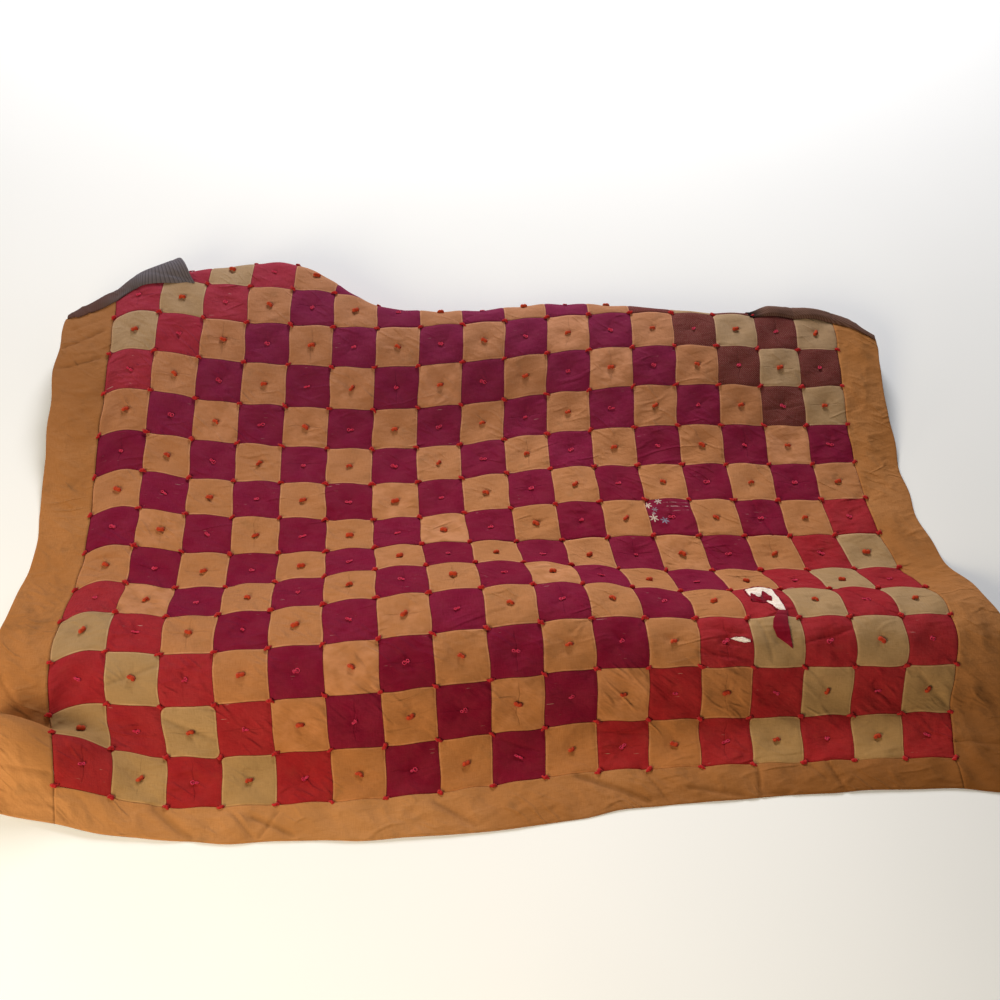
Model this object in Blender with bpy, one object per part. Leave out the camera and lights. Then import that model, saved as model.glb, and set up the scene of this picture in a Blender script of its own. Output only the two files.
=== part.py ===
"""Tied patchwork quilt, laid out on the floor in soft folds, its top rows folded under.

The cloth has its own coordinates: u counts patches from the left edge of the patchwork, and v
counts patches from its bottom edge. Every piece is a region of the same laid-out cloth, so
neighbours meet along their seams. Metres, +Z up, +X to the right, +Y away from the bottom hem.
"""
import bpy
import numpy as np

# Cutting sizes
PATCH = 0.1143
COLUMNS = 17
ROWS = 15
SIDE_BORDER = 0.120
TOP_BORDER = 0.120
SEAM_GAP = 0.00034

# Height of each laid-on piece over the smooth upper face, which the facets stay within
CORNER_LIFT = 0.0015
ROLL_LIFT = 0.0013
STRIP_LIFT = 0.0005
TEAR_LIFT = 0.0018
SLIT_LIFT = 0.0008

# Thickness of the padded cloth at the ties, between them, in the borders and at the hem
TIE_THICK = 0.0045
PUFF_THICK = 0.0095
BORDER_THICK = 0.0080
HEM_THICK = 0.0040
UNDER_THICK = 0.0060

# How the cloth lies: one row for each section across the quilt
SECTION_COLUMNS = ("u", "hem_y", "hem_width", "toe_v", "ridge_v", "ridge_height", "foot_v",
                   "rise_v", "top_height", "turn_v")
SECTIONS = (
    (-1.05, 0.115, 0.080, 1.6, 3.2, 0.045, 5.8, 6.6, 0.105, 11.9),
    (0.00, 0.082, 0.078, 1.5, 3.2, 0.052, 5.6, 7.0, 0.132, 12.6),
    (2.00, 0.036, 0.078, 1.1, 3.1, 0.068, 5.6, 7.6, 0.148, 13.3),
    (4.00, 0.030, 0.080, 0.4, 3.0, 0.098, 6.6, 8.1, 0.148, 13.6),
    (6.00, 0.030, 0.086, 0.0, 3.3, 0.130, 7.3, 8.6, 0.122, 12.5),
    (8.00, 0.040, 0.098, 0.0, 3.3, 0.135, 7.1, 8.8, 0.118, 12.2),
    (10.00, 0.064, 0.098, 0.2, 3.1, 0.122, 6.2, 8.4, 0.115, 12.2),
    (12.00, 0.086, 0.080, 0.5, 2.8, 0.106, 5.5, 7.7, 0.120, 12.0),
    (14.00, 0.098, 0.070, 0.9, 2.9, 0.106, 5.5, 7.4, 0.118, 11.8),
    (16.00, 0.094, 0.074, 1.0, 2.9, 0.106, 5.5, 7.3, 0.098, 11.9),
    (17.00, 0.092, 0.076, 1.0, 2.9, 0.102, 5.4, 7.2, 0.088, 11.8),
    (18.05, 0.082, 0.082, 1.0, 2.9, 0.085, 5.4, 7.2, 0.075, 11.2),
)

# A short slanting fold that lifts the lower left corner
CORNER_V = 1.05
CORNER_SLANT = 0.18
CORNER_HEIGHT = 0.100
CORNER_REACH = 2.8
CORNER_FRONT = 1.8
CORNER_BACK = 0.9

# The cloth widens over the front ridge and lies a little askew
SPREAD_BASE = 0.985
SPREAD_RIDGE = 0.05
SPREAD_TOE_V = -0.3
SPREAD_CREST_V = 2.6
SPREAD_FOOT_V = 6.8
SWAY = 0.014
SWAY_CREST_V = 1.5
SWAY_LAST_V = 12.0
SWAY_WAVE = 13.0
UNDER_NARROWING = 0.025
UNDER_FIRST_V = 12.4
UNDER_LAST_V = 14.0

# The turn at the back reaches this far past its crest, at most
TURN_DEPTH = 0.055
# Distance from the bottom hem back to the flat valley, where the origin lies
VALLEY_Y = 0.970

# Steps along each section's curve, and the least share of a step that is left to y
CURVE_STEPS = 400
TURN_STEPS = 60
LEAST_RUN = 0.05

# The borders' padding reaches its full band at this share of their width
BAND_SHARE = 0.4

# Pieces laid on the quilt, placed in u and v, or in patches past the turn
CORNER_U = (-0.95, 1.22)
CORNER_EDGE = (-0.10, 0.05)
CORNER_END = 0.85
CORNER_TIP_LIFT = 0.044
CORNER_THICK = (0.0045, 0.0080)
ROLL_U = (14.9, 18.0)
ROLL_V = (0.04, 0.52)
ROLL_THICK = (0.003, 0.024)
ROLL_TAPER = 0.18
STRIP_U = (13.41, 13.69)
STRIP_V = (2.36, 3.14)
STRIP_SLANT = 0.10
STRIP_ARCH = 0.002
STRIP_THICK = 0.0012
WADDING_THICK = (0.0008, 0.0030)


def ease(t):
    """Half a cosine wave from 0 to 1 as t goes from 0 to 1, flat outside."""
    return (1 - np.cos(np.pi * np.clip(t, 0, 1))) / 2


def section(u):
    """The section table read at u: a smooth cubic through each column's rows."""
    table = np.array(SECTIONS)
    rows_u = table[:, 0]
    row = int(np.clip(np.searchsorted(rows_u, u) - 1, 0, len(rows_u) - 2))
    width = rows_u[row + 1] - rows_u[row]
    t = (u - rows_u[row]) / width
    values = {}
    for index, name in enumerate(SECTION_COLUMNS):
        column = table[:, index]
        slope = np.gradient(column, rows_u)
        values[name] = ((2 * t**3 - 3 * t**2 + 1) * column[row]
                        + (t**3 - 2 * t**2 + t) * width * slope[row]
                        + (3 * t**2 - 2 * t**3) * column[row + 1]
                        + (t**3 - t**2) * width * slope[row + 1])
    return values


def fold_height(u, v, cut):
    """Height of the backing over the floor: front ridge, rise at the back and corner fold."""
    up = ease((v - cut["toe_v"]) / (cut["ridge_v"] - cut["toe_v"]))
    down = ease((cut["foot_v"] - v) / (cut["foot_v"] - cut["ridge_v"]))
    ridge = cut["ridge_height"] * np.where(v < cut["ridge_v"], up, down)
    rise = cut["top_height"] * ease((v - cut["rise_v"]) / (cut["turn_v"] - cut["rise_v"]))
    along = u + SIDE_BORDER / PATCH
    crest = CORNER_V - CORNER_SLANT * along
    slope = np.where(v < crest, (crest - v) / CORNER_FRONT, (v - crest) / CORNER_BACK)
    corner = CORNER_HEIGHT * ease(1 - along / CORNER_REACH) * ease(1 - slope)
    return ridge + rise + corner


def section_curve(u):
    """The backing's curve in the section at u, as arrays of v, y and z.

    From the hem to the turn its length is kept: a step in y is what is left of the step in v
    after the change in height. Then it goes round half an ellipse and forward along the floor.
    """
    cut = section(u)
    v_low = -cut["hem_width"] / PATCH
    v = np.linspace(v_low, cut["turn_v"], CURVE_STEPS)
    z = fold_height(u, v, cut)
    run = np.sqrt(np.maximum(1 - np.gradient(z, v * PATCH)**2, LEAST_RUN))
    steps = (run[1:] + run[:-1]) / 2 * np.diff(v) * PATCH
    y = cut["hem_y"] - VALLEY_Y + np.concatenate(([0], np.cumsum(steps)))

    drop = (z[-1] - UNDER_THICK) / 2
    depth = min(drop, TURN_DEPTH)
    angle = np.linspace(0, np.pi, TURN_STEPS)
    turn_y = y[-1] + depth * np.sin(angle)
    turn_z = z[-1] - drop + drop * np.cos(angle)
    arc = np.cumsum(np.hypot(np.diff(turn_y), np.diff(turn_z)))
    turn_v = cut["turn_v"] + arc / PATCH
    v_end = ROWS + TOP_BORDER / PATCH + 1
    y_end = turn_y[-1] - (v_end - turn_v[-1]) * PATCH
    return (np.concatenate((v, turn_v, [v_end])),
            np.concatenate((y, turn_y[1:], [y_end])),
            np.concatenate((z, turn_z[1:], [UNDER_THICK])))


def sideways(u, v):
    """x of the point (u, v): patches from the middle, widened over the ridge, with the sway."""
    up = ease((v - SPREAD_TOE_V) / (SPREAD_CREST_V - SPREAD_TOE_V))
    down = ease((SPREAD_FOOT_V - v) / (SPREAD_FOOT_V - SPREAD_CREST_V))
    under = ease((v - UNDER_FIRST_V) / (UNDER_LAST_V - UNDER_FIRST_V))
    ridge = np.where(v < SPREAD_CREST_V, up, down)
    spread = SPREAD_BASE + SPREAD_RIDGE * ridge - UNDER_NARROWING * under
    sway = SWAY * np.cos(2 * np.pi * (np.clip(v, 0, SWAY_LAST_V) - SWAY_CREST_V) / SWAY_WAVE)
    return (u - COLUMNS / 2) * PATCH * spread + sway


def backing(u, v):
    """Points of the backing at grids of u and v, where each grid column has one u."""
    points = np.zeros(u.shape + (3,))
    for column in range(u.shape[1]):
        curve_v, curve_y, curve_z = section_curve(u[0, column])
        here = v[:, column]
        points[:, column, 0] = sideways(u[0, column], here)
        points[:, column, 1] = np.interp(here, curve_v, curve_y)
        points[:, column, 2] = np.interp(here, curve_v, curve_z)
    return points


def outward(u, v):
    """Unit normals of the backing towards the patchwork, from small steps along u and v."""
    step = 0.02
    across = backing(u + step, v) - backing(u - step, v)
    along = backing(u, v + step) - backing(u, v - step)
    normal = np.cross(across, along)
    return normal / np.linalg.norm(normal, axis=2, keepdims=True)


def past_turn(u, v):
    """0 on the layer that shows, 1 on the layer folded under, per point."""
    turned = np.zeros(u.shape)
    for column in range(u.shape[1]):
        turned[:, column] = ease(v[:, column] - section(u[0, column])["turn_v"])
    return turned


def padding(u, v):
    """Thickness: thin at ties on every patch corner and centre, full halfway between them.

    In the borders it goes over to one plump band that thins out towards the hem, and the
    layer folded under is pressed to one thickness.
    """
    puff = (1 - np.cos(2 * np.pi * u) * np.cos(2 * np.pi * v)) / 2
    field = TIE_THICK + (PUFF_THICK - TIE_THICK) * puff
    hem_v = np.array([section(value)["hem_width"] / PATCH for value in u[0]])
    out_side = np.maximum(np.maximum(-u, u - COLUMNS), 0) * PATCH / SIDE_BORDER
    out_top = np.maximum(v - ROWS, 0) * PATCH / TOP_BORDER
    out_low = np.maximum(-v, 0) / hem_v[None, :]
    out = np.maximum(np.maximum(out_side, out_top), out_low)
    thinned = ease((out - BAND_SHARE) / (1 - BAND_SHARE))
    band = BORDER_THICK + (HEM_THICK - BORDER_THICK) * thinned
    thick = field + (band - field) * ease(out / BAND_SHARE)
    return thick + (UNDER_THICK - thick) * past_turn(u, v)


def clear_scene():
    for item in list(bpy.data.objects):
        bpy.data.objects.remove(item, do_unlink=True)


def cloth_material(name, color, roughness):
    material = bpy.data.materials.new(name)
    material.use_nodes = True
    shader = material.node_tree.nodes["Principled BSDF"]
    shader.inputs["Base Color"].default_value = (*color, 1)
    shader.inputs["Roughness"].default_value = roughness
    shader.inputs["Metallic"].default_value = 0
    material.diffuse_color = (*color, 1)
    return material


def closed_sheet(name, upper, lower, color, roughness=0.9):
    """A closed body between two grids of points, with its four edges walled.

    Each wall cell is cut along the diagonal that starts from the backing at its lower u and v,
    so that the facing walls of two neighbours have the same facets.
    """
    rows, columns = upper.shape[:2]
    count = rows * columns
    vertices = np.concatenate((upper.reshape(-1, 3), lower.reshape(-1, 3)))
    index = np.arange(count).reshape(rows, columns)
    quads = np.stack((index[:-1, :-1], index[:-1, 1:], index[1:, 1:], index[1:, :-1]), -1)
    faces = quads.reshape(-1, 4).tolist() + (quads.reshape(-1, 4)[:, ::-1] + count).tolist()
    rim = np.concatenate((index[0], index[1:, -1], index[-1, -2::-1], index[-2:0:-1, 0]))
    after = np.roll(rim, -1)
    rising = rows + columns - 2
    faces += np.stack((rim, rim + count, after), -1)[:rising].tolist()
    faces += np.stack((rim + count, after + count, after), -1)[:rising].tolist()
    faces += np.stack((rim, rim + count, after + count), -1)[rising:].tolist()
    faces += np.stack((rim, after + count, after), -1)[rising:].tolist()
    mesh = bpy.data.meshes.new(name)
    mesh.from_pydata(vertices.tolist(), [], faces)
    mesh.shade_smooth()
    mesh.set_sharp_from_angle(angle=np.radians(50))
    piece = bpy.data.objects.new(name, mesh)
    piece.data.materials.append(cloth_material(name + "_cloth", color, roughness))
    bpy.context.scene.collection.objects.link(piece)
    return piece


def quilt_piece(name, u, v, color):
    """A piece of the quilt over grids of u and v: its backing, and the padding on it."""
    lower = backing(u, v)
    upper = lower + outward(u, v) * padding(u, v)[..., None]
    return closed_sheet(name, upper, lower, color)


def laid_on(name, u, v, bottom, thick, color):
    """A thin piece on the quilt's upper face, from bottom to bottom plus thick over it."""
    normal = outward(u, v)
    face = backing(u, v) + normal * padding(u, v)[..., None]
    lower = face + normal * bottom[..., None]
    upper = lower + normal * thick[..., None]
    return closed_sheet(name, upper, lower, color)


def grid(u_stations, v_stations):
    """Two grids with u changing along the columns and v along the rows."""
    return np.meshgrid(np.array(u_stations, float), np.array(v_stations, float))


half_gap = SEAM_GAP / PATCH / 2
side_u = SIDE_BORDER / PATCH
top_v = TOP_BORDER / PATCH

# Stations: two cells a patch, and four a patch round the turn at the back
inner_u = np.linspace(0, COLUMNS, 2 * COLUMNS + 1)
inner_v = np.concatenate((np.arange(0, 11.5, 0.5), np.arange(11.5, ROWS + 0.1, 0.25)))
inner_u[[0, -1]] += (half_gap, -half_gap)
field_v = inner_v.copy()
field_v[[0, -1]] += (half_gap, -half_gap)

CRIMSON = (0.23, 0.03, 0.05)
BORDER_TAN = (0.40, 0.20, 0.07)
SLATE = (0.09, 0.09, 0.11)
BROWN = (0.14, 0.07, 0.05)
WADDING = (0.80, 0.77, 0.70)
BORDER_FRACTIONS = np.array((0, 0.2, 0.45, 0.75, 1.0))


def build_field():
    quilt_piece("patchwork_field", *grid(inner_u, field_v), CRIMSON)


def build_top_border():
    v_stations = ROWS + half_gap + BORDER_FRACTIONS * (top_v - half_gap)
    quilt_piece("border_top", *grid(inner_u, v_stations), BORDER_TAN)


def build_bottom_border():
    """The border below the patchwork, from its own hem width up to the seam."""
    u, share = grid(inner_u, BORDER_FRACTIONS[::-1])
    hem_v = np.array([section(value)["hem_width"] / PATCH for value in u[0]])
    v = -half_gap - share * (hem_v[None, :] - half_gap)
    quilt_piece("border_bottom", u, v, BORDER_TAN)


def build_side_border(name, seam_u, direction):
    """A side border, from the bottom hem to the top hem, on the given side of its seam."""
    u_stations = seam_u + direction * (half_gap + BORDER_FRACTIONS * (side_u - half_gap))
    u_stations = np.sort(u_stations)
    low = BORDER_FRACTIONS[::-1][:-1]
    high = ROWS + BORDER_FRACTIONS[1:] * top_v
    u, v = grid(u_stations, np.concatenate((-low, inner_v, high)))
    hem_v = np.array([section(value)["hem_width"] / PATCH for value in u[0]])
    v[:len(low)] *= hem_v[None, :]
    quilt_piece(name, u, v, BORDER_TAN)


def between(limits, share):
    """The value at this share of the way from the first limit to the second."""
    return limits[0] + (limits[1] - limits[0]) * share


def build_turned_corner():
    """The quilt's own corner turned up over the fold at the back left, striped side out."""
    reach = np.linspace(0, 1, 17)
    u, share = grid(between(CORNER_U, reach), np.linspace(0, 1, 7))
    turn = np.array([section(value)["turn_v"] for value in u[0]])
    edge = between(CORNER_EDGE, reach)
    v = turn + edge + (CORNER_END - edge) * share
    lift = CORNER_LIFT + CORNER_TIP_LIFT * reach**3 * np.sin(np.pi / 2 * share)
    thick = between(CORNER_THICK, np.sin(np.pi * share))
    laid_on("turned_corner", u, v, lift, thick, SLATE)


def build_rolled_edge():
    """The hem rolled up over the fold at the back right, a long slim roll."""
    reach = np.linspace(0, 1, 15)
    u, share = grid(between(ROLL_U, reach), np.linspace(0, 1, 6))
    turn = np.array([section(value)["turn_v"] for value in u[0]])
    v = turn + between(ROLL_V, share)
    thick = between(ROLL_THICK, np.sin(np.pi * share) * ease(reach / ROLL_TAPER))
    laid_on("rolled_edge", u, v, np.full(u.shape, ROLL_LIFT), thick, BROWN)


def build_torn_strip():
    """The loose strip of crimson cloth that hangs from the tear over the patch below."""
    across, up = grid(np.linspace(0, 1, 4), np.linspace(0, 1, 8))
    u = between(STRIP_U, across)
    v = between(STRIP_V, up) - STRIP_SLANT * across
    lift = STRIP_LIFT + STRIP_ARCH * np.sin(np.pi * up)
    laid_on("torn_strip", u, v, lift, np.full(u.shape, STRIP_THICK), CRIMSON)


def build_wadding(name, middle_u, middle_v, half_u, half_v, lift):
    """A small lump of white filling that shows through a tear in the patch."""
    across, up = grid(np.linspace(-1, 1, 7), np.linspace(-1, 1, 5))
    crown = np.cos(np.pi / 2 * across) * np.cos(np.pi / 2 * up)
    thick = between(WADDING_THICK, np.clip(crown, 0, 1))
    u = middle_u + half_u * across
    v = middle_v + half_v * up
    laid_on(name, u, v, np.full(u.shape, lift), thick, WADDING)


clear_scene()
build_field()
build_bottom_border()
build_top_border()
build_side_border("border_left", 0, -1)
build_side_border("border_right", COLUMNS, 1)
build_turned_corner()
build_rolled_edge()
build_torn_strip()
build_wadding("wadding_tear", 13.48, 3.50, 0.26, 0.33, TEAR_LIFT)
build_wadding("wadding_slit", 12.79, 2.52, 0.18, 0.07, SLIT_LIFT)
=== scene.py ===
"""Looks of the tied patchwork quilt: its cloths, seams, ties and tears, and the studio round it.

u counts squares from the left edge of the patchwork and v counts them from its bottom edge, as
in the solids. Metres, +Z up.
"""

import bpy
import numpy as np
from mathutils import Matrix


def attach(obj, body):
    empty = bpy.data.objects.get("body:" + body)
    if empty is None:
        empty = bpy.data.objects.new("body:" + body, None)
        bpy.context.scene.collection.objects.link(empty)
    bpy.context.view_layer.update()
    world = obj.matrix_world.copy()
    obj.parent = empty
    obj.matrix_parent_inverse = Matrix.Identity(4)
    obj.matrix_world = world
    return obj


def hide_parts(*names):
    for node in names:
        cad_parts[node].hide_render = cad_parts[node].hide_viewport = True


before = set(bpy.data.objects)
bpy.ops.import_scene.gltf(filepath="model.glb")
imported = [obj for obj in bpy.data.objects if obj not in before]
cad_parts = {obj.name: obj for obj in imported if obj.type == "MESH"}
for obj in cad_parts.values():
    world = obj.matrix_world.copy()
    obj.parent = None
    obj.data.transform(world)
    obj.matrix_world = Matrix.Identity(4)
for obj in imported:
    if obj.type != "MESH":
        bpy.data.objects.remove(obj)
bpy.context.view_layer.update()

# Sizes and the lay of the cloth, the same as the solids have
PATCH = 0.1143
COLUMNS = 17
ROWS = 15
SIDE_BORDER = 0.120
TOP_BORDER = 0.120
SEAM_GAP = 0.00034
SIDE_U = SIDE_BORDER / PATCH
TOP_V = TOP_BORDER / PATCH
TIE_THICK = 0.0045
PUFF_THICK = 0.0095
BORDER_THICK = 0.0080
HEM_THICK = 0.0040
UNDER_THICK = 0.0060
SECTION_COLUMNS = ("u", "hem_y", "hem_width", "toe_v", "ridge_v", "ridge_height", "foot_v",
                   "rise_v", "top_height", "turn_v")
SECTIONS = (
    (-1.05, 0.115, 0.080, 1.6, 3.2, 0.045, 5.8, 6.6, 0.105, 11.9),
    (0.00, 0.082, 0.078, 1.5, 3.2, 0.052, 5.6, 7.0, 0.132, 12.6),
    (2.00, 0.036, 0.078, 1.1, 3.1, 0.068, 5.6, 7.6, 0.148, 13.3),
    (4.00, 0.030, 0.080, 0.4, 3.0, 0.098, 6.6, 8.1, 0.148, 13.6),
    (6.00, 0.030, 0.086, 0.0, 3.3, 0.130, 7.3, 8.6, 0.122, 12.5),
    (8.00, 0.040, 0.098, 0.0, 3.3, 0.135, 7.1, 8.8, 0.118, 12.2),
    (10.00, 0.064, 0.098, 0.2, 3.1, 0.122, 6.2, 8.4, 0.115, 12.2),
    (12.00, 0.086, 0.080, 0.5, 2.8, 0.106, 5.5, 7.7, 0.120, 12.0),
    (14.00, 0.098, 0.070, 0.9, 2.9, 0.106, 5.5, 7.4, 0.118, 11.8),
    (16.00, 0.094, 0.074, 1.0, 2.9, 0.106, 5.5, 7.3, 0.098, 11.9),
    (17.00, 0.092, 0.076, 1.0, 2.9, 0.102, 5.4, 7.2, 0.088, 11.8),
    (18.05, 0.082, 0.082, 1.0, 2.9, 0.085, 5.4, 7.2, 0.075, 11.2),
)
CORNER_V = 1.05
CORNER_SLANT = 0.18
CORNER_HEIGHT = 0.100
CORNER_REACH = 2.8
CORNER_FRONT = 1.8
CORNER_BACK = 0.9
SPREAD_BASE = 0.985
SPREAD_RIDGE = 0.05
SPREAD_TOE_V = -0.3
SPREAD_CREST_V = 2.6
SPREAD_FOOT_V = 6.8
SWAY = 0.014
SWAY_CREST_V = 1.5
SWAY_LAST_V = 12.0
SWAY_WAVE = 13.0
FLARE = 0.015
FLARE_FIRST_V = 7.0
FLARE_LAST_V = 12.0
UNDER_NARROWING = 0.025
UNDER_FIRST_V = 12.4
UNDER_LAST_V = 14.0
TURN_DEPTH = 0.055
DRAWN_BACK = 0.16
DRAWN_FIRST_U = 16.5
DRAWN_WIDTH = 1.5
VALLEY_Y = 0.970
CURVE_STEPS = 400
TURN_STEPS = 60
LEAST_RUN = 0.05
BAND_SHARE = 0.4
STEP = 0.02
LEAST_THICK = 0.0022
LATTICE = 128
LATTICE_MARGIN = 40
HEM_SHARE = 0.94
HEM_LEAST = 0.35
LAID_GAP = 0.0013
TORN_THICK = 0.0009

# Grid cells to a square, and the pitch of each cloth's weave or stripes
FULL_CELLS = 28
WEAVE_PITCH = 0.0007
WEAVE_DEPTH = 0.00006
CHECK_PITCH = 0.0055
STRIPE_PITCH = 0.0048
TWILL_PITCH = 0.0065

# Cloths of the squares
PLUM, TAN, ROSE, CREAM, CHECK, STAR, BACKING = range(7)


def ease(t):
    """Half a cosine wave from 0 to 1 as t goes from 0 to 1, flat outside."""
    return (1 - np.cos(np.pi * np.clip(t, 0, 1))) / 2


def between(limits, share):
    """The value at this share of the way from the first limit to the second."""
    return limits[0] + (limits[1] - limits[0]) * share


def section(u):
    """The section table read at u: a smooth cubic through each column's rows."""
    table = np.array(SECTIONS)
    rows_u = table[:, 0]
    row = int(np.clip(np.searchsorted(rows_u, u) - 1, 0, len(rows_u) - 2))
    width = rows_u[row + 1] - rows_u[row]
    t = (u - rows_u[row]) / width
    slopes = np.gradient(table, rows_u, axis=0)
    values = ((2 * t**3 - 3 * t**2 + 1) * table[row]
              + (t**3 - 2 * t**2 + t) * width * slopes[row]
              + (3 * t**2 - 2 * t**3) * table[row + 1]
              + (t**3 - t**2) * width * slopes[row + 1])
    return dict(zip(SECTION_COLUMNS, values))


def fold_height(u, v, cut):
    """Height of the backing over the floor: front ridge, rise at the back and corner fold."""
    up = ease((v - cut["toe_v"]) / (cut["ridge_v"] - cut["toe_v"]))
    down = ease((cut["foot_v"] - v) / (cut["foot_v"] - cut["ridge_v"]))
    ridge = cut["ridge_height"] * np.where(v < cut["ridge_v"], up, down)
    rise = cut["top_height"] * ease((v - cut["rise_v"]) / (cut["turn_v"] - cut["rise_v"]))
    along = u + SIDE_U
    crest = CORNER_V - CORNER_SLANT * along
    slope = np.where(v < crest, (crest - v) / CORNER_FRONT, (v - crest) / CORNER_BACK)
    corner = CORNER_HEIGHT * ease(1 - along / CORNER_REACH) * ease(1 - slope)
    return ridge + rise + corner


def section_curve(u):
    """The backing's curve in the section at u, as arrays of v, y and z.

    From the hem to the turn its length is kept: a step in y is what is left of the step in v
    after the change in height. Then it goes round half an ellipse and forward along the floor,
    less far at the right end, where it is drawn back.
    """
    cut = section(u)
    v_low = -cut["hem_width"] / PATCH
    v = np.linspace(v_low, cut["turn_v"], CURVE_STEPS)
    z = fold_height(u, v, cut)
    run = np.sqrt(np.maximum(1 - np.gradient(z, v * PATCH)**2, LEAST_RUN))
    steps = (run[1:] + run[:-1]) / 2 * np.diff(v) * PATCH
    y = cut["hem_y"] - VALLEY_Y + np.concatenate(([0], np.cumsum(steps)))
    drop = (z[-1] - UNDER_THICK) / 2
    depth = min(drop, TURN_DEPTH)
    angle = np.linspace(0, np.pi, TURN_STEPS)
    turn_y = y[-1] + depth * np.sin(angle)
    turn_z = z[-1] - drop + drop * np.cos(angle)
    arc = np.cumsum(np.hypot(np.diff(turn_y), np.diff(turn_z)))
    turn_v = cut["turn_v"] + arc / PATCH
    v_end = ROWS + TOP_V + 1
    drawn = 1 - DRAWN_BACK * ease((u - DRAWN_FIRST_U) / DRAWN_WIDTH)
    y_end = turn_y[-1] - (v_end - turn_v[-1]) * PATCH * drawn
    return (np.concatenate((v, turn_v, [v_end])),
            np.concatenate((y, turn_y[1:], [y_end])),
            np.concatenate((z, turn_z[1:], [UNDER_THICK])))


def sideways(u, v):
    """x of the point (u, v): squares from the middle, widened over the ridge, with the sway.

    The left border flares out towards the top.
    """
    up = ease((v - SPREAD_TOE_V) / (SPREAD_CREST_V - SPREAD_TOE_V))
    down = ease((SPREAD_FOOT_V - v) / (SPREAD_FOOT_V - SPREAD_CREST_V))
    under = ease((v - UNDER_FIRST_V) / (UNDER_LAST_V - UNDER_FIRST_V))
    ridge = np.where(v < SPREAD_CREST_V, up, down)
    spread = SPREAD_BASE + SPREAD_RIDGE * ridge - UNDER_NARROWING * under
    sway = SWAY * np.cos(2 * np.pi * (np.clip(v, 0, SWAY_LAST_V) - SWAY_CREST_V) / SWAY_WAVE)
    outer = ease(-u / SIDE_U)
    flare = FLARE * ease((v - FLARE_FIRST_V) / (FLARE_LAST_V - FLARE_FIRST_V)) * outer
    return (u - COLUMNS / 2) * PATCH * spread + sway - flare


def backing(u, v):
    """Points of the backing at grids of u and v, where each grid column has one u."""
    points = np.zeros(u.shape + (3,))
    for column in range(u.shape[1]):
        curve_v, curve_y, curve_z = section_curve(u[0, column])
        here = v[:, column]
        points[:, column, 0] = sideways(u[0, column], here)
        points[:, column, 1] = np.interp(here, curve_v, curve_y)
        points[:, column, 2] = np.interp(here, curve_v, curve_z)
    return points


def unit(vectors):
    """The vectors, each made one long."""
    return vectors / np.linalg.norm(vectors, axis=-1, keepdims=True)


def lay(u, v):
    """Points of the backing, and the unit directions there along u, along v and outwards."""
    across = backing(u + STEP, v) - backing(u - STEP, v)
    along = backing(u, v + STEP) - backing(u, v - STEP)
    return backing(u, v), unit(across), unit(along), unit(np.cross(across, along))


def read_sections(u, name):
    """One column of the section table, at the u of each grid column."""
    return np.array([section(value)[name] for value in u[0]])[None, :]


def padding(u, v):
    """Thickness: thin at ties on every corner and centre of a square, full halfway between.

    In the borders it goes over to one plump band that thins out towards the hem, and the
    layer folded under is pressed to one thickness.
    """
    puff = (1 - np.cos(2 * np.pi * u) * np.cos(2 * np.pi * v)) / 2
    field = between((TIE_THICK, PUFF_THICK), puff)
    out = towards_hem(u, v)
    thinned = ease((out - BAND_SHARE) / (1 - BAND_SHARE))
    band = between((BORDER_THICK, HEM_THICK), thinned)
    thick = field + (band - field) * ease(out / BAND_SHARE)
    return thick + (UNDER_THICK - thick) * ease(v - read_sections(u, "turn_v"))


def towards_hem(u, v):
    """0 on the patchwork, rising to 1 across each border at the hem."""
    out_side = np.maximum(np.maximum(-u, u - COLUMNS), 0) / SIDE_U
    out_top = np.maximum(v - ROWS, 0) / TOP_V
    out_low = np.maximum(-v, 0) * PATCH / read_sections(u, "hem_width")
    return np.maximum(np.maximum(out_side, out_top), out_low)


def blend(table, i, j, share_x, share_y):
    """The table's value between columns i and i + 1 and rows j and j + 1, at these shares."""
    low = table[j, i] * (1 - share_x) + table[j, i + 1] * share_x
    high = table[j + 1, i] * (1 - share_x) + table[j + 1, i + 1] * share_x
    return low * (1 - share_y) + high * share_y


def drift(u, v, cell, seed):
    """Smooth random values from -1 to 1: lattice values, a cell of squares apart, blended."""
    table = np.random.default_rng(seed).uniform(-1, 1, (LATTICE, LATTICE))
    x = u / cell[0] + LATTICE_MARGIN
    y = v / cell[1] + LATTICE_MARGIN
    i = np.floor(x).astype(int)
    j = np.floor(y).astype(int)
    fx = (x - i)**2 * (3 - 2 * (x - i))
    fy = (y - j)**2 * (3 - 2 * (y - j))
    return blend(table, i % (LATTICE - 1), j % (LATTICE - 1), fx, fy)


def square_cloths():
    """The cloth of each square as an array of rows from the bottom and columns from the left."""
    column, row = np.meshgrid(np.arange(1, COLUMNS + 1), np.arange(1, ROWS + 1))
    even = (column + row) % 2 == 0
    from_right = COLUMNS + 1 - column
    from_top = ROWS + 1 - row
    cloth = np.where(even, PLUM, TAN)
    lower_left = column + row <= 6
    upper_left = column + from_top <= 6
    lower_right = from_right + row <= 8
    rosy = lower_left | upper_left | lower_right
    cloth = np.where(rosy, np.where(even, ROSE, CREAM), cloth)
    upper_right = from_right + from_top <= 8
    cloth = np.where(upper_right, np.where(even, CHECK, CREAM), cloth)
    for at_column, at_row, other in ((12, 1, TAN), (13, 2, TAN), (17, 9, PLUM), (17, 13, ROSE),
                                     (13, 7, STAR)):
        cloth[at_row - 1, at_column - 1] = other
    return cloth


SQUARES = square_cloths()
DARK = np.isin(SQUARES, (PLUM, ROSE, CHECK, STAR))
CREASED = np.array((0.6, 0.7, 1.0, 0.5, 0.5, 0.6))[SQUARES]


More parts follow.
